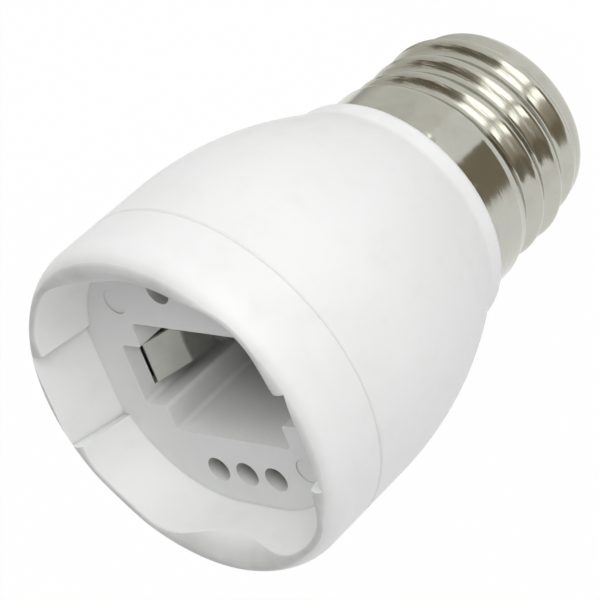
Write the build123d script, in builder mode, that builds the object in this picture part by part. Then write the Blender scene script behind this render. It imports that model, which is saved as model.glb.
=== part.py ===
"""Lamp socket adapter: a screw cap on one end, a socket for a pin-based lamp on the other.

The part stands with its mouth up. Z = 0 is the shoulder, where the white body ends and the skirt of
the screw shell begins. X runs along the rows of pin holes, and Y across them. Millimetres.
"""

import os
from math import degrees, radians, sin, sqrt

from build123d import *

# Screw cap: a standard 27 mm cap, 25 mm from its shoulder to the tip of its contact
contact_rise = 3.4
crest_radius = 13.05
thread_depth = 1.0
thread_pitch = 3.629
thread_turns = 2.85
thread_stop = 4.04
ridge_foot = 3.0
ridge_top = 0.9
skirt_radius = 13.45
skirt_length = 5.8
skirt_slope = 0.9
shell_sheet = 0.3
shell_length = 21.6
shell_curl = 2.5
shell_mouth_radius = 9.55
insulator_thickness = 2.6
insulator_nose_radius = 6.4
contact_radius = 4.8
contact_plate = 0.5
contact_dome = 0.9
contact_shank_radius = 2.2
contact_head = 0.6

# Rear body: a tapered round moulding with a lip round the shell, and a neck that goes into it
body_radius = 20.4
body_height = 30.6
body_straight = 7.1
body_wall = 1.8
shoulder_radius = 14.9
shoulder_height = 2.6
shoulder_blend = 1.5
shoulder_round = 0.9
shoulder_floor = 2.0
neck_gap = 7.6
neck_step = 5.4
neck_bore_radius = 9.6

# Front moulding: the ring with its rounded rim, the lamp recess and the pin plate
ring_height = 8.45
rim_outer_round = 4.3
rim_crest_round = 1.1
rim_inner_round = 5.2
rim_outer_angle = 42.0
rim_crest_angle = 78.0
rim_edge_round = 0.5
seam_chamfer = 0.25
spigot_length = 3.0
spigot_wall = 1.5
rim_key_wall = 3.75
rim_pin_wall = 4.5
rim_corner_wall = 1.6
plate_side_wall = 4.8
plate_corner_wall = 3.7
recess_depth = 6.55
plate_thickness = 2.2
key_width = 11.8
key_depth = 1.75
key_foot_depth = 0.4
ejector_mark_radius = 1.5
ejector_mark_depth = 0.12
ejector_mark_place = 9.5

# Pin holes: a row of three, and across the well a row of two that face the gaps between them
pin_hole_radius = 1.5
pin_pitch = 4.2
pin_row_spacing = 23.0
row_pins = {"line": 3, "neutral": 2}

# Post well: a deep pocket for the lamp's post, with a narrower pocket for a clip at each end
well_width = 16.6
well_height = 13.8
well_corner = 0.5
well_room = 4.3
well_wall = 1.4
pocket_reach = 11.4
pocket_height = 7.6

# Retaining clips: folded spring steel, each with its foot in a slot of its pocket
clip_sheet = 0.4
clip_width = 4.8
clip_lip_depth = 2.2
clip_crest_depth = 6.4
clip_root_depth = 11.4
clip_lip_reach = 11.0
clip_crest_reach = 9.5
clip_root_reach = 10.6
clip_foot = 2.4
clip_bend = 0.7
clip_slack = 0.3
window_head = 2.0
ledge_drop = 0.4
ledge_inset = 1.4

# Contact strips: one folded bronze channel for each row of pins
strip_sheet = 0.5
strip_bend = 0.6
strip_gap = 2.1
strip_margin = 0.4
strip_height = 7.3
strip_drop = 0.7
finger_slit = 0.7
finger_root = 2.0
shelf_thickness = 1.2

# Leads inside the body, and the solder that joins one of them to the shell
lead_radius = 0.8
lead_bend = 5.0
lead_turn = 7.5
lead_in_neck = 4.2
lead_dip = 3.0
solder_radius = 1.3
solder_bite = 0.15
solder_rise = 4.3

# Room between pieces that fit into each other
fit_clearance = 0.05

# Levels and places that follow from these
seam_z = body_height
rim_z = seam_z + ring_height
plate_top = rim_z - recess_depth
plate_bottom = plate_top - plate_thickness
well_bottom = shoulder_floor + well_room + well_wall
cap_length = shell_length + contact_rise
neck_length = shell_length - neck_gap
root_radius = crest_radius - thread_depth
shell_bore = root_radius - shell_sheet
pin_row = pin_row_spacing / 2
row_sides = {"line": -1, "neutral": 1}
clip_sides = {"left": -1, "right": 1}

os.makedirs("parts", exist_ok=True)


def write_part(piece, name):
    """Label a finished piece and write it to its own file."""
    piece.label = name
    export_step(piece, f"parts/{name}.step")


# Rear body: its taper is one arc, tangent to the straight wall below the seam and ending at the lip
taper_top = body_height - body_straight
taper_drop = body_radius - shoulder_radius
taper_fall = taper_top - shoulder_height
taper_radius = (taper_drop**2 + taper_fall**2) / (2 * taper_drop)
body_bore = body_radius - body_wall
bore_taper = taper_radius - body_wall
bore_foot = body_radius - taper_radius + sqrt(bore_taper**2 - (taper_top - shoulder_floor) ** 2)
skirt_seat = skirt_radius - shell_sheet - fit_clearance
neck_radius = shell_bore - fit_clearance

with BuildPart() as rear_body:
    with BuildSketch(Plane.XZ) as body_section:
        with BuildLine():
            wall = Polyline(
                (body_bore, taper_top),
                (body_bore, seam_z),
                (body_radius - seam_chamfer, seam_z),
                (body_radius, seam_z - seam_chamfer),
                (body_radius, taper_top),
            )
            taper = TangentArc(wall @ 1, (shoulder_radius, shoulder_height), tangent=(0, -1))
            Polyline(
                taper @ 1,
                (shoulder_radius, 0),
                (skirt_seat, 0),
                (skirt_seat, -neck_step),
                (neck_radius, -neck_step),
                (neck_radius, -neck_length),
                (neck_bore_radius, -neck_length),
                (neck_bore_radius, shoulder_floor),
                (bore_foot, shoulder_floor),
            )
            TangentArc(wall @ 0, (bore_foot, shoulder_floor), tangent=(0, -1))
        make_face()
        lip_foot = body_section.vertices().sort_by_distance((shoulder_radius, shoulder_height))[0]
        fillet(lip_foot, shoulder_blend)
        lip_edge = body_section.vertices().sort_by_distance((shoulder_radius, 0))[0]
        fillet(lip_edge, shoulder_round)
    revolve(axis=Axis.Z)
write_part(rear_body.part, "rear_body")


# Front moulding: a turned ring with a rounded rim, cut by the lamp recess and the post well
spigot_radius = body_bore - fit_clearance
rim_start = rim_z - rim_crest_round - (rim_outer_round - rim_crest_round) * sin(radians(rim_outer_angle))
rim_half_length = body_radius - rim_key_wall
rim_half_width = body_radius - rim_pin_wall
plate_half = body_radius - plate_side_wall
key_top = rim_z + ring_height
ledge_top = plate_top - clip_root_depth - ledge_drop
strip_top = plate_bottom - strip_drop
strip_bottom = strip_top - strip_height
strip_back = pin_row - strip_gap / 2 - strip_sheet
well_back = well_height / 2 + well_wall
shelf_reach = pin_row - lead_radius - fit_clearance


def corner_round(half_length, half_width, reach):
    """Give the corner radius of a rounded rectangle whose corners reach this far from its centre."""
    spare = half_length + half_width - reach
    return spare - sqrt(spare**2 + reach**2 - half_length**2 - half_width**2)


with BuildPart() as socket_front:
    with BuildSketch(Plane.XZ):
        with BuildLine():
            foot = Polyline(
                (0, plate_bottom),
                (spigot_radius - spigot_wall, plate_bottom),
                (spigot_radius - spigot_wall, seam_z - spigot_length),
                (spigot_radius, seam_z - spigot_length),
                (spigot_radius, seam_z),
                (body_radius - seam_chamfer, seam_z),
                (body_radius, seam_z + seam_chamfer),
                (body_radius, rim_start),
            )
            outer_roll = JernArc(foot @ 1, (0, 1), rim_outer_round, rim_outer_angle)
            crest_roll = JernArc(outer_roll @ 1, outer_roll % 1, rim_crest_round, rim_crest_angle)
            inner_angle = 180 - rim_outer_angle - rim_crest_angle
            inner_roll = JernArc(crest_roll @ 1, crest_roll % 1, rim_inner_round, inner_angle)
            Polyline(inner_roll @ 1, (0, (inner_roll @ 1).Y), (0, plate_bottom))
        make_face()
    revolve(axis=Axis.Z)

    # Lamp recess: a rounded rectangle, tapering from the rim to the plate, with a rounded edge at the rim
    with BuildSketch(Plane.XY.offset(plate_top)):
        plate_corner = corner_round(plate_half, plate_half, body_radius - plate_corner_wall)
        RectangleRounded(2 * plate_half, 2 * plate_half, plate_corner)
    with BuildSketch(Plane.XY.offset(rim_z)):
        rim_corner = corner_round(rim_half_length, rim_half_width, body_radius - rim_corner_wall)
        RectangleRounded(2 * rim_half_length, 2 * rim_half_width, rim_corner)
    loft(ruled=True, mode=Mode.SUBTRACT)
    recess_edges = socket_front.edges(Select.LAST).filter_by_position(Axis.Z, rim_start, key_top)
    fillet(recess_edges, rim_edge_round)

    # Keyways in the two ends of the recess, deeper at the rim than at the plate
    with BuildSketch(Plane.XZ):
        with BuildLine():
            Polyline(
                (0, plate_top),
                (plate_half + key_foot_depth, plate_top),
                (rim_half_length + key_depth, rim_z),
                (rim_half_length + key_depth, key_top),
                (0, key_top),
                close=True,
            )
        make_face()
        mirror(about=Plane.YZ)
    extrude(amount=key_width / 2, both=True, mode=Mode.SUBTRACT)

    # Walls of the post well and its end pockets, below the pin plate
    with BuildSketch(Plane.XY.offset(plate_bottom)):
        Rectangle(well_width + 2 * well_wall, well_height + 2 * well_wall)
        Rectangle(2 * (pocket_reach + well_wall), pocket_height + 2 * well_wall)
    extrude(amount=well_bottom - well_wall - plate_bottom)
    with BuildSketch(Plane.XY.offset(plate_top)) as well_mouth:
        Rectangle(well_width, well_height)
        Rectangle(2 * pocket_reach, pocket_height)
        fillet(well_mouth.vertices(), well_corner)
    extrude(amount=well_bottom - plate_top, mode=Mode.SUBTRACT)

    # Ledges at the foot of the end pockets, each with a slot for a clip and a window behind the clip
    for side in clip_sides.values():
        ledge_start = well_width / 2 + ledge_inset
        ledge_size = pocket_reach - ledge_start
        with Locations((side * (ledge_start + ledge_size / 2), 0, (ledge_top + well_bottom) / 2)):
            Box(ledge_size, pocket_height, ledge_top - well_bottom)
        with Locations((side * clip_root_reach, 0, ledge_top)):
            Box(
                clip_sheet + 2 * clip_slack,
                clip_width + 2 * clip_slack,
                2 * (clip_foot - ledge_drop + clip_slack),
                mode=Mode.SUBTRACT,
            )
        window_top = plate_top - window_head
        with Locations((side * (pocket_reach + well_wall / 2), 0, (window_top + ledge_top) / 2)):
            Box(2 * well_wall, clip_width + 2 * clip_slack, window_top - ledge_top, mode=Mode.SUBTRACT)

    # Ribs on the sides of the well that carry the contact strips
    for name, side in row_sides.items():
        strip_length = row_pins[name] * pin_pitch - strip_margin
        with Locations((0, side * (well_back + strip_back) / 2, strip_bottom + finger_root / 2)):
            Box(strip_length, strip_back - well_back, finger_root)
        with Locations((0, side * (well_back + shelf_reach) / 2, strip_bottom - shelf_thickness / 2)):
            Box(strip_length, shelf_reach - well_back, shelf_thickness)

    # Pin holes, and the shallow marks that the mould's ejector pins leave
    with Locations(Plane.XY.offset(plate_top)):
        for name, side in row_sides.items():
            with Locations((0, side * pin_row)):
                with GridLocations(pin_pitch, pin_row_spacing, row_pins[name], 1):
                    Hole(pin_hole_radius, depth=plate_thickness)
        with Locations((-ejector_mark_place, ejector_mark_place), (ejector_mark_place, -ejector_mark_place)):
            Hole(ejector_mark_radius, depth=ejector_mark_depth)
write_part(socket_front.part, "socket_front")


# Screw shell: thin sheet, rolled to a round helical thread and crimped on the neck
def thread_ridge(inset):
    """Make one helical ridge, a thread deep, drawn in from its outside and its two ends by this inset."""
    radius = root_radius - inset
    end_angle = degrees(inset / root_radius)
    turns = thread_turns - 2 * end_angle / 360
    start_z = thread_stop - shell_length + thread_pitch * end_angle / 360
    foot = ridge_foot - inset
    top = ridge_top - inset
    with BuildPart() as ridge:
        with BuildLine() as helix:
            Helix(thread_pitch, thread_pitch * turns, radius, center=(0, 0, start_z))
        with BuildSketch(Plane(helix.line @ 0, x_dir=(1, 0, 0), z_dir=helix.line % 0)):
            with BuildLine():
                Polyline(
                    (-shell_sheet, -foot / 2),
                    (0, -foot / 2),
                    (thread_depth, -top / 2),
                    (thread_depth, top / 2),
                    (0, foot / 2),
                    (-shell_sheet, foot / 2),
                    close=True,
                )
            make_face()
        sweep(path=helix.line, is_frenet=True)
    return ridge.part.rotate(Axis.Z, end_angle)


def shell_form(inset):
    """Make the shell's solid form, drawn in from its outside by this inset."""
    with BuildPart() as form:
        with BuildSketch(Plane.XZ):
            with BuildLine():
                side = Polyline(
                    (0, 0),
                    (skirt_radius - inset, 0),
                    (skirt_radius - inset, -skirt_length),
                    (root_radius - inset, -skirt_length - skirt_slope),
                    (root_radius - inset, shell_curl - shell_length),
                )
                curl = TangentArc(side @ 1, (shell_mouth_radius, inset - shell_length), tangent=(0, -1))
                Polyline(curl @ 1, (0, inset - shell_length), (0, 0))
            make_face()
        revolve(axis=Axis.Z)
        add(thread_ridge(inset))
    return form.part


with BuildPart() as screw_shell:
    add(shell_form(0))
    add(shell_form(shell_sheet), mode=Mode.SUBTRACT)
    Cylinder(shell_mouth_radius, 2 * shell_length, mode=Mode.SUBTRACT)
write_part(screw_shell.part, "screw_shell")


# End insulator: a black disc in the curled end of the shell
curl_start = shell_curl - shell_length
seat_radius = shell_bore - fit_clearance
nose_z = contact_plate + contact_dome - cap_length
disc_top = curl_start + insulator_thickness - shell_curl

with BuildPart() as end_insulator:
    with BuildSketch(Plane.XZ):
        with BuildLine():
            disc = Polyline(
                (contact_shank_radius + fit_clearance, disc_top),
                (seat_radius, disc_top),
                (seat_radius, curl_start),
            )
            seat = TangentArc(
                disc @ 1,
                (shell_mouth_radius - fit_clearance, shell_sheet + fit_clearance - shell_length),
                tangent=(0, -1),
            )
            Polyline(
                seat @ 1,
                (shell_mouth_radius - fit_clearance, -shell_length),
                (insulator_nose_radius, nose_z),
                (contact_shank_radius + fit_clearance, nose_z),
                disc @ 0,
            )
        make_face()
    revolve(axis=Axis.Z)
write_part(end_insulator.part, "end_insulator")


# Centre contact: a domed rivet through the insulator, closed over on the inside
with BuildPart() as centre_contact:
    with BuildSketch(Plane.XZ):
        with BuildLine():
            plate = Polyline(
                (contact_shank_radius, nose_z),
                (contact_radius, nose_z),
                (contact_radius, nose_z - contact_plate),
            )
            dome_radius = (contact_radius**2 + contact_dome**2) / (2 * contact_dome)
            dome = RadiusArc(plate @ 1, (0, -cap_length), dome_radius)
            Polyline(
                dome @ 1,
                (0, disc_top + contact_head),
                (contact_shank_radius, disc_top + contact_head),
                plate @ 0,
            )
        make_face()
    revolve(axis=Axis.Z)
write_part(centre_contact.part, "centre_contact")


# Retaining clips: a strip folded to a blunt V that points into the well
for name, side in clip_sides.items():
    with BuildPart() as clip:
        with BuildSketch(Plane.XZ):
            with BuildLine():
                FilletPolyline(
                    (side * clip_lip_reach, plate_top - clip_lip_depth),
                    (side * clip_crest_reach, plate_top - clip_crest_depth),
                    (side * clip_root_reach, plate_top - clip_root_depth),
                    (side * clip_root_reach, plate_top - clip_root_depth - clip_foot),
                    radius=clip_bend,
                )
            trace(line_width=clip_sheet)
        extrude(amount=clip_width / 2, both=True)
    write_part(clip.part, f"clip_{name}")


# Contact strips: channels under the pin holes, slit into a pair of fingers for each pin
channel_side = strip_gap / 2 + strip_sheet / 2
channel_width = strip_gap + 2 * strip_sheet

for name, side in row_sides.items():
    strip_length = row_pins[name] * pin_pitch - strip_margin
    with BuildPart() as strip:
        with BuildSketch(Plane.YZ):
            with BuildLine():
                FilletPolyline(
                    (side * pin_row - channel_side, strip_top),
                    (side * pin_row - channel_side, strip_bottom + strip_sheet / 2),
                    (side * pin_row + channel_side, strip_bottom + strip_sheet / 2),
                    (side * pin_row + channel_side, strip_top),
                    radius=strip_bend,
                )
            trace(line_width=strip_sheet)
        extrude(amount=strip_length / 2, both=True)
        slit_height = strip_height - finger_root
        with Locations((0, side * pin_row, strip_top - slit_height / 2)):
            with GridLocations(pin_pitch, pin_row_spacing, row_pins[name] - 1, 1):
                Box(finger_slit, channel_width + strip_sheet, slit_height, mode=Mode.SUBTRACT)
    write_part(strip.part, f"contact_strip_{name}")


# Leads: from each strip down past the well, through the neck and to its part of the cap
solder_reach = shell_bore - solder_radius + solder_bite
solder_z = solder_rise - shell_length
turn_z = shoulder_floor + lead_turn
lead_ends = {
    "line": [(0, 0, lead_dip - neck_length), (0, 0, disc_top + contact_head)],
    "neutral": [(0, lead_in_neck + lead_dip, -neck_length), (0, solder_reach, solder_z)],
}
leads = {}

for name, side in row_sides.items():
    with BuildPart() as lead:
        with BuildLine() as route:
            FilletPolyline(
                (0, side * pin_row, strip_bottom),
                (0, side * pin_row, turn_z),
                (0, side * lead_in_neck, -lead_dip),
                *lead_ends[name],
                radius=lead_bend,
            )
        with BuildSketch(Plane(route.line @ 0, z_dir=route.line % 0)):
            Circle(lead_radius)
        sweep(path=route.line)
    leads[name] = lead.part
    write_part(lead.part, f"lead_wire_{name}")


# Solder: a bead that joins the end of the neutral lead to the inside of the shell
with BuildPart() as solder_bead:
    with Locations((0, solder_reach, solder_z)):
        Sphere(solder_radius)
    add(screw_shell.part, mode=Mode.SUBTRACT)
    add(leads["neutral"], mode=Mode.SUBTRACT)
write_part(solder_bead.part, "solder_bead")
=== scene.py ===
"""Looks of the lamp socket adapter: its finishes, its rolled screw shell, and the studio around it."""

import logging
import math
from dataclasses import dataclass
from enum import Enum
from typing import Any

import bpy
from mathutils import Matrix, Vector


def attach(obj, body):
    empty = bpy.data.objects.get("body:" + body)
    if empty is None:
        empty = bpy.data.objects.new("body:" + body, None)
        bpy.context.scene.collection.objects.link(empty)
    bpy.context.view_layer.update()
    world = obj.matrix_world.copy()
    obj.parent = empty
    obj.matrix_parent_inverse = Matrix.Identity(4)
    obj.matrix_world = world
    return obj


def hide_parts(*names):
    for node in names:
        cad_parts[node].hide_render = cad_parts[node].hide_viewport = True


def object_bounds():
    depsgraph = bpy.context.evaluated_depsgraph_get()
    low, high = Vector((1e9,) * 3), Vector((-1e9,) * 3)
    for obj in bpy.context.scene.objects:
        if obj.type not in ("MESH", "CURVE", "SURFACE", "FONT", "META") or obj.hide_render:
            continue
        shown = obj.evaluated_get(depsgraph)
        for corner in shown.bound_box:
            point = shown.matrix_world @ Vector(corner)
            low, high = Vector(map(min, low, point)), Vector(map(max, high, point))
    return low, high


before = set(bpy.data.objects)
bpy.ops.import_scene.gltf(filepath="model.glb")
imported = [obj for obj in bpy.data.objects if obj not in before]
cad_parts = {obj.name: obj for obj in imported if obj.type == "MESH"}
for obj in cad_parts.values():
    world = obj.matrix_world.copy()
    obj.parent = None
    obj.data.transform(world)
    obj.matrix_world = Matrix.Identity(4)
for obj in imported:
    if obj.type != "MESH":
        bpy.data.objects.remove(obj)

log = logging.getLogger("adapter")
MM = 0.001
IMAGE_SIZE = 600
SENSOR_MM = 36.0
CAD_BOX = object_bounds()
BODY = "adapter"
CARD_REACH = 300.0
CARD_LEVEL = -10.0
CARD_GAP = 0.2
CARD_SHARE = "share_across"
WHITE = "#FFFFFF"
NOISE_DETAIL = 3.0
NOISE_FALL = 0.55
NOISE_LOW = 0.3
NOISE_HIGH = 0.7
SOIL_FROM = 0.52
# Open-share bounds of the dust and painted shade in crevices.
DUST_AND_SHADE_REACH = (0.45, 0.9)
# Open-share bounds of the painted shade deep in holes and the well.
DEEP_SHADE_REACH = (0.05, 0.5)
# Facing and spread of the grey tint on the rim: partly rub wear, partly painted shade.
RUB_AND_PAINTED_SHADE_FACING = (0.4, 0.95)
RUB_AND_PAINTED_SHADE_SPREAD = 0.25
Place = tuple[float, float, float]
Tree = bpy.types.NodeTree
Socket = bpy.types.NodeSocket


class Lay(Enum):
    """How a surface's fine lines lie: the share of their frequency along X, Y and Z."""

    EVEN = (1.0, 1.0, 1.0)
    AROUND_AXIS = (0.09, 0.09, 1.0)
    ALONG_AXIS = (1.0, 1.0, 0.06)


def linear(code: str) -> tuple[float, float, float, float]:
    """Turn an sRGB hex colour into linear light.

    Args:
        code: six hex digits, with or without a leading hash.

    Returns:
        Red, green, blue and alpha, each from 0 to 1.
    """
    digits = code.lstrip("#")
    shares = [int(digits[i : i + 2], 16) / 255 for i in (0, 2, 4)]
    light = [s / 12.92 if s <= 0.04045 else ((s + 0.055) / 1.055) ** 2.4 for s in shares]
    return (light[0], light[1], light[2], 1.0)


def add_node(
    tree: Tree, kind: str, links: dict[Any, Any] | None = None, **settings: Any
) -> bpy.types.Node:
    """Add one node with its settings, input values and links.

    Args:
        tree: the node tree to add to.
        kind: Blender's name of the node type.
        links: input name or number to an output socket, or to a plain value.
        settings: attributes to set on the node itself.

    Returns:
        The new node.
    """
    node = tree.nodes.new(kind)
    for name, value in settings.items():
        setattr(node, name, value)
    for key, value in (links or {}).items():
        if isinstance(value, Socket):
            tree.links.new(value, node.inputs[key])
        else:
            node.inputs[key].default_value = value
    return node


def seen(tree: Tree) -> Socket:
    """Add a switch for what the camera, a bright metal or a clear piece shows.

    Args:
        tree: the node tree to add to.

    Returns:
        1 for rays that show a thing, 0 for rays that only carry light.
    """
    rays = add_node(tree, "ShaderNodeLightPath").outputs
    links = {0: rays["Is Camera Ray"], 1: rays["Is Glossy Ray"]}
    mirrored = add_node(tree, "ShaderNodeMath", links, operation="MAXIMUM").outputs[0]
    links = {0: mirrored, 1: rays["Is Transmission Ray"]}
    return add_node(tree, "ShaderNodeMath", links, operation="MAXIMUM").outputs[0]


@dataclass(frozen=True)
class Finish:
    """A finish: a common material and how its surface was made.

    Attributes:
        name: the material's name in Blender.
        colour: its sRGB colour.
        roughness: its mean roughness.
        metallic: 1 for a bare metal, 0 otherwise.
        ior: index of refraction of a plastic; a metal keeps the default.
        grain_mm: the width of the surface's fine texture.
        grain_height_mm: how deep that texture is.
        lay: how that texture lies.
        mottle_mm: the width of slow changes in colour and gloss.
        mottle: the share by which the colour changes.
        gloss_change: by how much the roughness changes.
        soil_and_shade: sRGB colour of the thin handling marks, and of the painted shade in crevices and
            deep holes.
        soil_mm: the width of those marks.
        soil_share: how strongly they tint the surface.
        dust_and_shade_mm: the width of the crevices darkened with dust and painted shade.
        dust_and_shade_share: how strongly that dust and painted shade tint them.
        deep_shade_mm: the width of the deep holes whose walls get painted shade.
        deep_shade_share: how strong that painted shade is.
        rub_and_painted_shade: sRGB colour of the grey tint on the rim's upward faces, partly rub wear from
            lamps and partly painted shade of the rim's roll.
        rub_and_painted_shade_share: how strong that tint is.
        rub_and_painted_shade_levels_mm: the heights at which it begins and is full.
    """

    name: str
    colour: str
    roughness: float
    metallic: float = 0.0
    ior: float = 1.5
    grain_mm: float = 0.3
    grain_height_mm: float = 0.004
    lay: Lay = Lay.EVEN
    mottle_mm: float = 9.0
    mottle: float = 0.03
    gloss_change: float = 0.06
    soil_and_shade: str = "#6E675C"
    soil_mm: float = 4.0
    soil_share: float = 0.05
    # Crevices darkened with dust and painted shade.
    dust_and_shade_mm: float = 0.5
    dust_and_shade_share: float = 0.0
    # Deep holes darkened with painted shade.
    deep_shade_mm: float = 10.0
    deep_shade_share: float = 0.0
    # Grey tint on the rim's upward faces: partly rub wear, partly painted shade.
    rub_and_painted_shade: str = "#8C8C89"
    rub_and_painted_shade_share: float = 0.0
    rub_and_painted_shade_levels_mm: tuple[float, float] = (34.5, 36.5)

    def noise(self, tree: Tree, where: Socket, width_mm: float) -> Socket:
        """Add a noise whose features are about this wide.

        Args:
            tree: the material's node tree.
            where: the place on the piece.
            width_mm: the width of a feature.

        Returns:
            The noise, from 0 to 1.
        """
        links = {
            "Vector": where,
            "Scale": 1 / (width_mm * MM),
            "Detail": NOISE_DETAIL,
            "Roughness": NOISE_FALL,
        }
        return add_node(tree, "ShaderNodeTexNoise", links).outputs["Fac"]

    def ranged(
        self, tree: Tree, value: Socket, low: float, high: float, start: float = NOISE_LOW
    ) -> Socket:
        """Spread a noise over a range.

        Args:
            tree: the material's node tree.
            value: the noise.
            low: the least that comes out.
            high: the most that comes out.
            start: the noise at which the least ends.

        Returns:
            The value in that range.
        """
        links = {"Value": value, "From Min": start, "From Max": NOISE_HIGH, "To Min": low, "To Max": high}
        return add_node(tree, "ShaderNodeMapRange", links).outputs["Result"]

    def tinted(self, tree: Tree, paint: Socket, tint: str, share: Socket) -> Socket:
        """Lay a tint over the paint.

        Args:
            tree: the material's node tree.
            paint: the colour so far.
            tint: the tint's sRGB colour.
            share: how much of it shows, from 0 to 1.

        Returns:
            The tinted colour.
        """
        links = {0: share, 6: paint, 7: linear(tint)}
        return add_node(tree, "ShaderNodeMix", links, data_type="RGBA").outputs[2]

    def paint(self, tree: Tree, where: Socket, slow: Socket) -> Socket:
        """Add the colour, with its slow changes and handling marks, and painted shade in crevices (with
        dust), in deep holes, and on the rim (with rub wear).

        Args:
            tree: the material's node tree.
            where: the place on the piece.
            slow: the noise of the slow changes.

        Returns:
            The colour.
        """
        shade = self.ranged(tree, slow, 1 - self.mottle, 1 + self.mottle)
        links = {0: 1.0, 6: linear(self.colour), 7: shade}
        clean = add_node(tree, "ShaderNodeMix", links, data_type="RGBA", blend_type="MULTIPLY").outputs[2]
        smears = self.noise(tree, where, self.soil_mm)
        marks = self.ranged(tree, smears, 0.0, self.soil_share, start=SOIL_FROM)
        handled = self.tinted(tree, clean, self.soil_and_shade, marks)
        # Dust and painted shade in crevices, from ambient occlusion.
        dusty_and_shaded = self.shaded_where_tucked(tree, handled, self.dust_and_shade_mm, DUST_AND_SHADE_REACH, self.dust_and_shade_share)
        # Painted shade deep in the holes and the well.
        deep_shaded = self.shaded_where_tucked(tree, dusty_and_shaded, self.deep_shade_mm, DEEP_SHADE_REACH, self.deep_shade_share)
        # Grey tint on the rim's upward faces, partly rub wear and partly painted shade.
        return self.rubbed_and_painted_shade(tree, deep_shaded)

    def shaded_where_tucked(
        self, tree: Tree, paint: Socket, width_mm: float, reach: tuple[float, float], share: float
    ) -> Socket:
        """Paint shade where the surface is tucked away within this width, as a tint in the soil colour.

        Args:
            tree: the material's node tree.
            paint: the colour so far.
            width_mm: how far walls count as near.
            reach: the open share of the surroundings where the tint is full, and where it ends.
            share: how strong the tint is.

        Returns:
            The tinted colour.
        """
        if share == 0.0:
            return paint
        links = {"Distance": width_mm * MM}
        # Ambient occlusion sets where the painted shade falls.
        open_share = add_node(tree, "ShaderNodeAmbientOcclusion", links, samples=8).outputs["AO"]
        full, none = reach
        links = {"Value": open_share, "From Min": full, "From Max": none, "To Min": share, "To Max": 0.0}
        tint = add_node(tree, "ShaderNodeMapRange", links).outputs["Result"]
        return self.tinted(tree, paint, self.soil_and_shade, tint)

    def rubbed_and_painted_shade(self, tree: Tree, paint: Socket) -> Socket:
        """Add the uneven grey tint on the upward faces of a rim, partly rub wear and partly painted shade.

        Args:
            tree: the material's node tree.
            paint: the colour so far.

        Returns:
            The colour with the bloom.
        """
        if self.rub_and_painted_shade_share == 0.0:
            return paint
        spots = add_node(tree, "ShaderNodeTexCoord").outputs
        level = add_node(tree, "ShaderNodeSeparateXYZ", {0: spots["Object"]}).outputs["Z"]
        facing = add_node(tree, "ShaderNodeSeparateXYZ", {0: spots["Normal"]}).outputs["Z"]
        ease = {"interpolation_type": "SMOOTHSTEP"}
        low, high = self.rub_and_painted_shade_levels_mm
        links = {"Value": level, "From Min": low * MM, "From Max": high * MM}
        raised = add_node(tree, "ShaderNodeMapRange", links, **ease).outputs["Result"]
        uneven = self.noise(tree, spots["Object"], self.soil_mm)
        least = (1 - RUB_AND_PAINTED_SHADE_SPREAD) * self.rub_and_painted_shade_share
        most = self.ranged(tree, uneven, least, (1 + RUB_AND_PAINTED_SHADE_SPREAD) * self.rub_and_painted_shade_share)
        links = {"Value": facing, "From Min": RUB_AND_PAINTED_SHADE_FACING[0], "From Max": RUB_AND_PAINTED_SHADE_FACING[1], "To Max": most}
        upward = add_node(tree, "ShaderNodeMapRange", links, **ease).outputs["Result"]
        links = {0: raised, 1: upward}
        share = add_node(tree, "ShaderNodeMath", links, operation="MULTIPLY").outputs[0]
        return self.tinted(tree, paint, self.rub_and_painted_shade, share)

    def relief(self, tree: Tree, where: Socket) -> Socket:
        """Add the fine texture as a bump.

        Args:
            tree: the material's node tree.
            where: the place on the piece.

        Returns:
            The bumped normal.
        """
        laid = add_node(tree, "ShaderNodeMapping", {"Vector": where, "Scale": self.lay.value})
        fine = self.noise(tree, laid.outputs["Vector"], self.grain_mm)
        links = {"Height": fine, "Distance": self.grain_height_mm * MM, "Strength": 1.0}
        return add_node(tree, "ShaderNodeBump", links).outputs["Normal"]

    def make(self) -> bpy.types.Material:
        """Make the material.

        Returns:
            A material with slow changes in colour and gloss, handling marks and a fine bump.
        """
        material = bpy.data.materials.new(self.name)
        material.use_nodes = True
        tree = material.node_tree
        tree.nodes.clear()
        where = add_node(tree, "ShaderNodeTexCoord").outputs["Object"]
        slow = self.noise(tree, where, self.mottle_mm)
        low = self.roughness - self.gloss_change
        links = {
            "Metallic": self.metallic,
            "Base Color": self.paint(tree, where, slow),
            "Roughness": self.ranged(tree, slow, low, self.roughness + self.gloss_change),
            "Normal": self.relief(tree, where),
        }
        shader = add_node(tree, "ShaderNodeBsdfPrincipled", links)
        if self.metallic == 0.0:
            shader.inputs["IOR"].default_value = self.ior
        add_node(tree, "ShaderNodeOutputMaterial", {"Surface": shader.outputs["BSDF"]})
        return material


# White PBT, injection moulded against a finely spark-eroded tool: a dense, even white with a satin sheen
WHITE_PBT = Finish(
    "white_pbt_moulded",
    "#E7E8E7",
    0.48,
    ior=1.55,
    grain_mm=0.35,
    grain_height_mm=0.006,
    mottle=0.01,
    soil_share=0.03,
    # Dust and painted shade in the crevices.
    dust_and_shade_mm=0.5,
    dust_and_shade_share=0.2,
    # Painted shade deep in the well and the holes.
    deep_shade_mm=18.0,
    deep_shade_share=0.6,
    # Grey tint on the rim: partly rub wear, partly painted shade.
    rub_and_painted_shade_share=0.4,
)
# Nickel plate on rolled brass sheet: bright and a little warm, with drawing lines and a haze from handling
NICKEL = Finish(
    "nickel_plate_rolled",
    "#BDBCB2",
    0.17,
    metallic=1.0,
    grain_mm=0.5,
    grain_height_mm=0.045,
    lay=Lay.AROUND_AXIS,
    mottle=0.05,
    gloss_change=0.05,
    soil_share=0.12,
)
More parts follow.
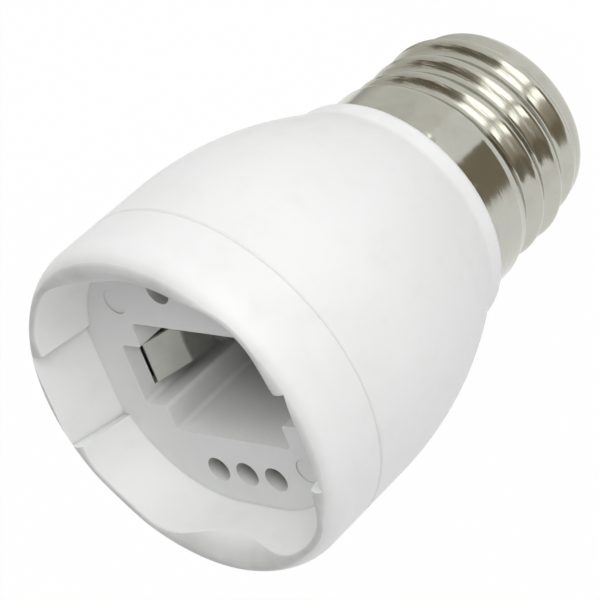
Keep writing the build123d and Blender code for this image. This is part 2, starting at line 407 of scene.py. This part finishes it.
# Stainless spring strip, cold rolled: pale and half bright, with fine rolling lines along the strip
SPRING_STEEL = Finish(
    "spring_steel_rolled",
    "#ECECE7",
    0.55,
    metallic=1.0,
    grain_mm=0.12,
    grain_height_mm=0.002,
    lay=Lay.ALONG_AXIS,
    mottle=0.06,
    mottle_mm=3.0,
)
# Phosphor bronze strip, cold rolled: reddish yellow, half bright
BRONZE = Finish(
    "phosphor_bronze_rolled",
    "#B98A55",
    0.34,
    metallic=1.0,
    grain_mm=0.12,
    grain_height_mm=0.002,
    lay=Lay.ALONG_AXIS,
    mottle=0.08,
    mottle_mm=3.0,
)
# Black phenolic, compression moulded: near black and semi-gloss, with a faint flow texture
PHENOLIC = Finish(
    "black_phenolic_moulded",
    "#1D1B1A",
    0.36,
    ior=1.6,
    grain_mm=0.6,
    grain_height_mm=0.008,
    mottle=0.2,
    mottle_mm=3.0,
)
# Tin solder and tinned brass: pale grey metal that froze with a slightly uneven skin
TIN = Finish(
    "tin_solder_frozen",
    "#C8C8C4",
    0.3,
    metallic=1.0,
    grain_mm=0.9,
    grain_height_mm=0.02,
    mottle=0.06,
    mottle_mm=2.0,
)
# PVC wire insulation, extruded: smooth and slightly glossy
PVC = Finish(
    "pvc_insulation_extruded",
    "#D8D6D0",
    0.35,
    ior=1.53,
    grain_mm=0.8,
    grain_height_mm=0.003,
)


def new_mesh(
    name: str, points: list[Vector], faces: list[tuple[int, ...]], finish: bpy.types.Material
) -> bpy.types.Object:
    """Make a smooth mesh object.

    Args:
        name: the piece's name.
        points: its vertices, in metres.
        faces: its faces, by vertex number.
        finish: its material.

    Returns:
        The object, linked to the scene.
    """
    mesh = bpy.data.meshes.new(name)
    mesh.from_pydata(points, [], faces)
    mesh.materials.append(finish)
    mesh.shade_smooth()
    mesh.update()
    piece = bpy.data.objects.new(name, mesh)
    bpy.context.scene.collection.objects.link(piece)
    return piece


def dress(node: str, finish: bpy.types.Material) -> None:
    """Give a solid of the frame its finish.

    Args:
        node: the solid's node in the frame.
        finish: its material.
    """
    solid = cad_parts[node]
    solid.data.materials.clear()
    solid.data.materials.append(finish)
    log.info("dressed %s with %s", node, finish.name)


def smooth_step(low: float, high: float, value: float) -> float:
    """Rise from 0 to 1, level at both ends.

    Args:
        low: where the rise begins.
        high: where it ends.
        value: the place to give it at.

    Returns:
        The share of the rise.
    """
    share = min(max((value - low) / (high - low), 0.0), 1.0)
    return share * share * (3 - 2 * share)


@dataclass
class ScrewShell:
    """The rolled screw shell: a plain skirt, a round helical thread, and an end curled over the insulator.

    Lengths are in millimetres, and depths count down from the shoulder.
    """

    skirt_radius: float = 13.45
    skirt_end: float = 5.6
    skirt_fade: float = 1.6
    crest_radius: float = 13.05
    thread_depth: float = 1.0
    pitch: float = 3.629
    crest_depth: float = 9.7
    crest_angle: float = 60.0
    thread_end: float = 17.0
    thread_fade: float = 1.6
    length: float = 21.6
    curl: float = 2.5
    sheet: float = 0.3
    punch_count: int = 12
    punch_angle: float = 49.0
    punch_depth: float = 0.25
    punch_place: float = 0.8
    punch_reach: float = 0.8
    punch_flare: float = 1.5
    steps_around: int = 300
    steps_down: int = 140
    steps_curl: int = 16

    def radius(self, angle: float, depth: float) -> float:
        """Give the outside radius at a place above the curled end.

        Args:
            angle: direction about the axis, in radians from X.
            depth: distance below the shoulder.

        Returns:
            The radius in millimetres.
        """
        turn = angle / math.tau - self.crest_angle / 360
        phase = (self.crest_depth - depth) / self.pitch - turn
        nearest_crest = self.crest_depth - self.pitch * (turn + round(phase))
        height = self.thread_depth * (0.5 + 0.5 * math.cos(math.tau * phase))
        height *= 1 - smooth_step(self.thread_end, self.thread_end + self.thread_fade, nearest_crest)
        curl_start = self.length - self.curl
        height *= 1 - smooth_step(curl_start - self.thread_fade, curl_start, depth)
        threaded = self.crest_radius - self.thread_depth + height
        skirt = 1 - smooth_step(self.skirt_end, self.skirt_end + self.skirt_fade, depth)
        return threaded + (self.skirt_radius - threaded) * skirt - self.punch(angle, depth)

    def punch(self, angle: float, depth: float) -> float:
        """Give the depth of the crimping punch marks at a place on the skirt.

        Args:
            angle: direction about the axis, in radians from X.
            depth: distance below the shoulder.

        Returns:
            The depth in millimetres, 0 between the marks.
        """
        step = math.tau / self.punch_count
        off = (angle - math.radians(self.punch_angle) + step / 2) % step - step / 2
        far = math.hypot(off * self.skirt_radius, depth - self.punch_place) / self.punch_reach
        return self.punch_depth * max(0.0, 1 - far) ** self.punch_flare

    def section(self, angle: float, inset: float) -> list[tuple[float, float]]:
        """Give the line along the shell at one angle.

        Args:
            angle: direction about the axis, in radians from X.
            inset: how far the line is drawn in from the outside.

        Returns:
            The radius and the depth of each point, from the shoulder down.
        """
        curl_start = self.length - self.curl
        depths = [curl_start * k / self.steps_down for k in range(self.steps_down)]
        section = [(self.radius(angle, depth) - inset, depth) for depth in depths]
        mouth = self.crest_radius - self.thread_depth - self.curl
        for k in range(self.steps_curl + 1):
            bend = math.pi / 2 * k / self.steps_curl
            reach = self.curl - inset
            section.append((mouth + reach * math.cos(bend), curl_start + reach * math.sin(bend)))
        return section

    def build(self, finish: bpy.types.Material) -> bpy.types.Object:
        """Build the shell as one closed sheet and put it in place of its plain solid.

        Args:
            finish: the plate on the sheet.

        Returns:
            The shell's object.
        """
        points: list[Vector] = []
        rows = 2 * (self.steps_down + self.steps_curl + 1)
        for k in range(self.steps_around):
            angle = math.tau * k / self.steps_around
            loop = self.section(angle, 0.0) + self.section(angle, self.sheet)[::-1]
            points += [Vector((r * math.cos(angle), r * math.sin(angle), -depth)) * MM for r, depth in loop]
        faces: list[tuple[int, ...]] = []
        for k in range(self.steps_around):
            here = k * rows
            there = (k + 1) % self.steps_around * rows
            for i in range(rows):
                j = (i + 1) % rows
                faces.append((here + i, here + j, there + j, there + i))
        shell = new_mesh("rolled_screw_shell", points, faces, finish)
        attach(shell, BODY)
        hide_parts("screw_shell")
        log.info("built %s", shell.name)
        return shell


@dataclass(frozen=True)
class Lamp:
    """A soft lamp that lights the part but shows in no bright metal, which has the cards for that.

    Attributes:
        name: the lamp's name.
        place: where it hangs, in millimetres, facing the part.
        width: its width in millimetres.
        height: its height in millimetres.
        power: its power in watts.
    """

    name: str
    place: Place
    width: float
    height: float
    power: float

    def hang(self) -> None:
        """Hang the lamp."""
        data = bpy.data.lights.new(self.name, "AREA")
        data.shape = "RECTANGLE"
        data.size = self.width * MM
        data.size_y = self.height * MM
        data.energy = self.power
        lamp = bpy.data.objects.new(self.name, data)
        lamp.location = Vector(self.place) * MM
        lamp.visible_glossy = False
        lamp.rotation_euler = (-Vector(self.place)).to_track_quat("-Z", "Y").to_euler()
        bpy.context.scene.collection.objects.link(lamp)


@dataclass(frozen=True)
class Card:
    """A flat card that only bright metal and sheen show, as photographers put beside plated parts.

    Attributes:
        name: the card's name.
        corners: its corners, in millimetres.
        colour: its sRGB colour at its first bearing about the axis.
        end_colour: its sRGB colour at its last bearing.
        strength: how bright it is, where 1 is its colour.
    """

    name: str
    corners: tuple[Place, ...]
    colour: str
    end_colour: str
    strength: float = 1.0

    def put(self) -> None:
        """Put the card in the studio."""
        material = bpy.data.materials.new(self.name)
        material.use_nodes = True
        tree = material.node_tree
        tree.nodes.clear()
        across = add_node(tree, "ShaderNodeAttribute", attribute_name=CARD_SHARE).outputs["Fac"]
        links = {0: across, 6: linear(self.colour), 7: linear(self.end_colour)}
        paint = add_node(tree, "ShaderNodeMix", links, data_type="RGBA").outputs[2]
        glow = add_node(tree, "ShaderNodeEmission", {"Color": paint, "Strength": self.strength})
        add_node(tree, "ShaderNodeOutputMaterial", {"Surface": glow.outputs[0]})
        face = tuple(range(len(self.corners)))
        card = new_mesh(self.name, [Vector(c) * MM for c in self.corners], [face], material)
        turns = [math.atan2(c[1], c[0]) for c in self.corners]
        shares = card.data.attributes.new(CARD_SHARE, "FLOAT", "POINT")
        for spot, turn in zip(shares.data, turns):
            spot.value = (turn - min(turns)) / (max(turns) - min(turns))
        card.visible_camera = False
        card.visible_diffuse = False
        card.visible_shadow = False
        card.visible_transmission = False


def around(reach: float, bearing: float) -> tuple[float, float]:
    """Give a place around the axis.

    Args:
        reach: its distance from the axis.
        bearing: its direction in degrees from X.

    Returns:
        Its X and Y.
    """
    return (reach * math.cos(math.radians(bearing)), reach * math.sin(math.radians(bearing)))


def standing(
    name: str,
    bearings: tuple[float, float],
    rises: tuple[float, float],
    colours: tuple[str, str],
    strength: float = 1.0,
) -> Card:
    """Describe a card that stands around the part.

    Args:
        name: the card's name.
        bearings: its two ends, in degrees about the axis from X.
        rises: its lower and upper edge, in degrees above the screw cap.
        colours: its sRGB colours at the two ends.
        strength: how bright it is.

    Returns:
        The card.
    """
    first, last = [around(CARD_REACH, bearing) for bearing in bearings]
    low, high = [CARD_LEVEL + CARD_REACH * math.tan(math.radians(rise)) for rise in rises]
    corners = ((*first, low), (*first, high), (*last, high), (*last, low))
    return Card(name, corners, *colours, strength)


def lying(
    name: str, spots: tuple[tuple[float, float], ...], colours: tuple[str, str], strength: float = 1.0
) -> Card:
    """Describe a card that lies on the floor around the part.

    Args:
        name: the card's name.
        spots: the distance of each corner from the axis, and its bearing in degrees.
        colours: its sRGB colours at its first and last bearing.
        strength: how bright it is.

    Returns:
        The card.
    """
    level = CAD_BOX[0].z / MM + CARD_GAP
    corners = tuple((*around(reach, bearing), level) for reach, bearing in spots)
    return Card(name, corners, *colours, strength)


@dataclass
class Studio:
    """The studio: a pale floor, soft light, cards for the bright metal, and the camera."""

    camera_place: Place = (181.1, 123.3, 171.0)
    camera_right: Place = (0.7313, -0.3259, -0.5991)
    camera_up: Place = (-0.0878, 0.8262, -0.5566)
    focal_pixels: float = 2507.0
    camera_near: float = 10.0
    floor_reach: float = 3000.0
    floor_colour: str = "#F4F4F4"
    floor_white: float = 0.985
    light_around: float = 0.84
    light_overhead: float = 0.28
    dimming_heights: tuple[float, float] = (0.36, 0.76)
    lamps: tuple[Lamp, ...] = (
        Lamp("key", (184.0, 330.0, 200.0), 300.0, 240.0, 0.86),
        Lamp("fill", (340.0, -260.0, 60.0), 420.0, 420.0, 0.45),
    )
    cards: tuple[Card, ...] = (
        lying(
            "dark_floor",
            ((24.0, -7.0), (40.0, -12.0), (75.0, -24.0), (290.0, -30.0), (290.0, 30.0), (24.0, 30.0)),
            ("#847B6B", "#8C8372"),
        ),
        standing("dark_front", (-30.0, -9.0), (-3.0, 42.0), ("#847B6B", "#7A715F")),
        standing("grey_front", (-9.0, 15.0), (-3.0, 36.0), ("#9A9080", "#C4BCAC")),
        standing("narrow_window", (15.0, 27.5), (0.0, 35.0), ("#FFFFFB", "#FFFFFB"), 2.2),
        standing("window_bar", (27.5, 35.0), (-3.0, 42.0), ("#CFCBC0", "#CFCBC0")),
        standing("wide_window", (35.0, 66.0), (-3.0, 34.0), ("#FFFFFB", "#FFFFFB"), 2.4),
        lying(
            "window_glint",
            ((70.0, 38.0), (290.0, 38.0), (290.0, 56.0), (70.0, 56.0)),
            ("#FFFFFB", "#FFFFFB"),
            1.8,
        ),
        standing("window_head", (-9.0, 66.0), (36.0, 55.0), ("#D8D6CC", "#D8D6CC")),
        standing("left_wall_1", (66.0, 95.0), (-3.0, 22.0), ("#FAFAF6", "#E6E5DF")),
        standing("left_wall_2", (95.0, 125.0), (-3.0, 17.0), ("#E6E5DF", "#D4D3CC")),
        standing("left_wall_3", (125.0, 175.0), (-3.0, 12.0), ("#D4D3CC", "#D4D3CC")),
        lying(
            "left_floor",
            ((15.0, 62.0), (160.0, 62.0), (160.0, 150.0), (15.0, 150.0)),
            ("#F2F2EE", "#A9A8A1"),
        ),
        standing("left_shade_1", (66.0, 95.0), (22.0, 60.0), ("#756C5B", "#6E6554")),
        standing("left_shade_2", (95.0, 125.0), (17.0, 60.0), ("#6E6554", "#756C5B")),
        standing("left_shade_3", (125.0, 175.0), (12.0, 60.0), ("#756C5B", "#8A806F")),
    )

    def add_camera(self) -> None:
        """Set the camera where the photograph was taken from."""
        data = bpy.data.cameras.new("photo_camera")
        data.sensor_width = SENSOR_MM
        data.lens = self.focal_pixels / IMAGE_SIZE * SENSOR_MM
        data.clip_start = self.camera_near * MM
        camera = bpy.data.objects.new("photo_camera", data)
        bpy.context.scene.collection.objects.link(camera)
        right = Vector(self.camera_right).normalized()
        up = Vector(self.camera_up)
        up = (up - right * up.dot(right)).normalized()
        back = right.cross(up)
        turn = Matrix((right, up, back)).transposed().to_4x4()
        camera.matrix_world = Matrix.Translation(Vector(self.camera_place) * MM) @ turn
        bpy.context.scene.camera = camera

    def add_floor(self) -> None:
        """Lay the floor under the lowest point of the part."""
        low = CAD_BOX[0].z
        far = self.floor_reach * MM
        corners = [Vector((x, y, low)) for x, y in ((-far, -far), (far, -far), (far, far), (-far, far))]
        material = bpy.data.materials.new("pale_floor")
        material.use_nodes = True
        tree = material.node_tree
        tree.nodes.clear()
        paint = add_node(tree, "ShaderNodeBsdfDiffuse", {"Color": linear(self.floor_colour)})
        glow = add_node(tree, "ShaderNodeEmission", {"Color": linear(WHITE), "Strength": 1.0})
        links = {0: seen(tree), 1: self.floor_white}
        share = add_node(tree, "ShaderNodeMath", links, operation="MULTIPLY")
        links = {0: share.outputs[0], 1: paint.outputs[0], 2: glow.outputs[0]}
        mix = add_node(tree, "ShaderNodeMixShader", links)
        add_node(tree, "ShaderNodeOutputMaterial", {"Surface": mix.outputs[0]})
        new_mesh("floor", corners, [(0, 1, 2, 3)], material)

    def add_world(self) -> None:
        """Surround the part with white light that falls off overhead, and with white where it is seen."""
        world = bpy.data.worlds.new("white_tent")
        world.use_nodes = True
        tree = world.node_tree
        tree.nodes.clear()
        direction = add_node(tree, "ShaderNodeTexCoord").outputs["Generated"]
        low, high = self.dimming_heights
        links = {
            "Value": add_node(tree, "ShaderNodeSeparateXYZ", {0: direction}).outputs["Z"],
            "From Min": low,
            "From Max": high,
            "To Min": self.light_around,
            "To Max": self.light_overhead,
        }
        strength = add_node(tree, "ShaderNodeMapRange", links).outputs["Result"]
        light = add_node(tree, "ShaderNodeBackground", {"Color": linear(WHITE), "Strength": strength})
        white = add_node(tree, "ShaderNodeBackground", {"Color": linear(WHITE), "Strength": 1.0})
        links = {0: seen(tree), 1: light.outputs[0], 2: white.outputs[0]}
        mix = add_node(tree, "ShaderNodeMixShader", links)
        add_node(tree, "ShaderNodeOutputWorld", {"Surface": mix.outputs[0]})
        bpy.context.scene.world = world

    def build(self) -> None:
        """Set up the whole studio."""
        self.add_camera()
        self.add_floor()
        self.add_world()
        for lamp in self.lamps:
            lamp.hang()
        for card in self.cards:
            card.put()


def main() -> None:
    """Dress the part and set up the studio."""
    logging.basicConfig(level=logging.INFO)
    bpy.context.scene.view_settings.view_transform = "Standard"
    white = WHITE_PBT.make()
    nickel = NICKEL.make()
    steel = SPRING_STEEL.make()
    bronze = BRONZE.make()
    black = PHENOLIC.make()
    tin = TIN.make()
    sleeve = PVC.make()
    dressing = {
        "socket_front": white,
        "rear_body": white,
        "end_insulator": black,
        "centre_contact": tin,
        "clip_left": steel,
        "clip_right": steel,
        "contact_strip_line": bronze,
        "contact_strip_neutral": bronze,
        "lead_wire_line": sleeve,
        "lead_wire_neutral": sleeve,
        "solder_bead": tin,
    }
    for node, finish in dressing.items():
        dress(node, finish)
    ScrewShell().build(nickel)
    Studio().build()


if __name__ == "__main__":
    main()
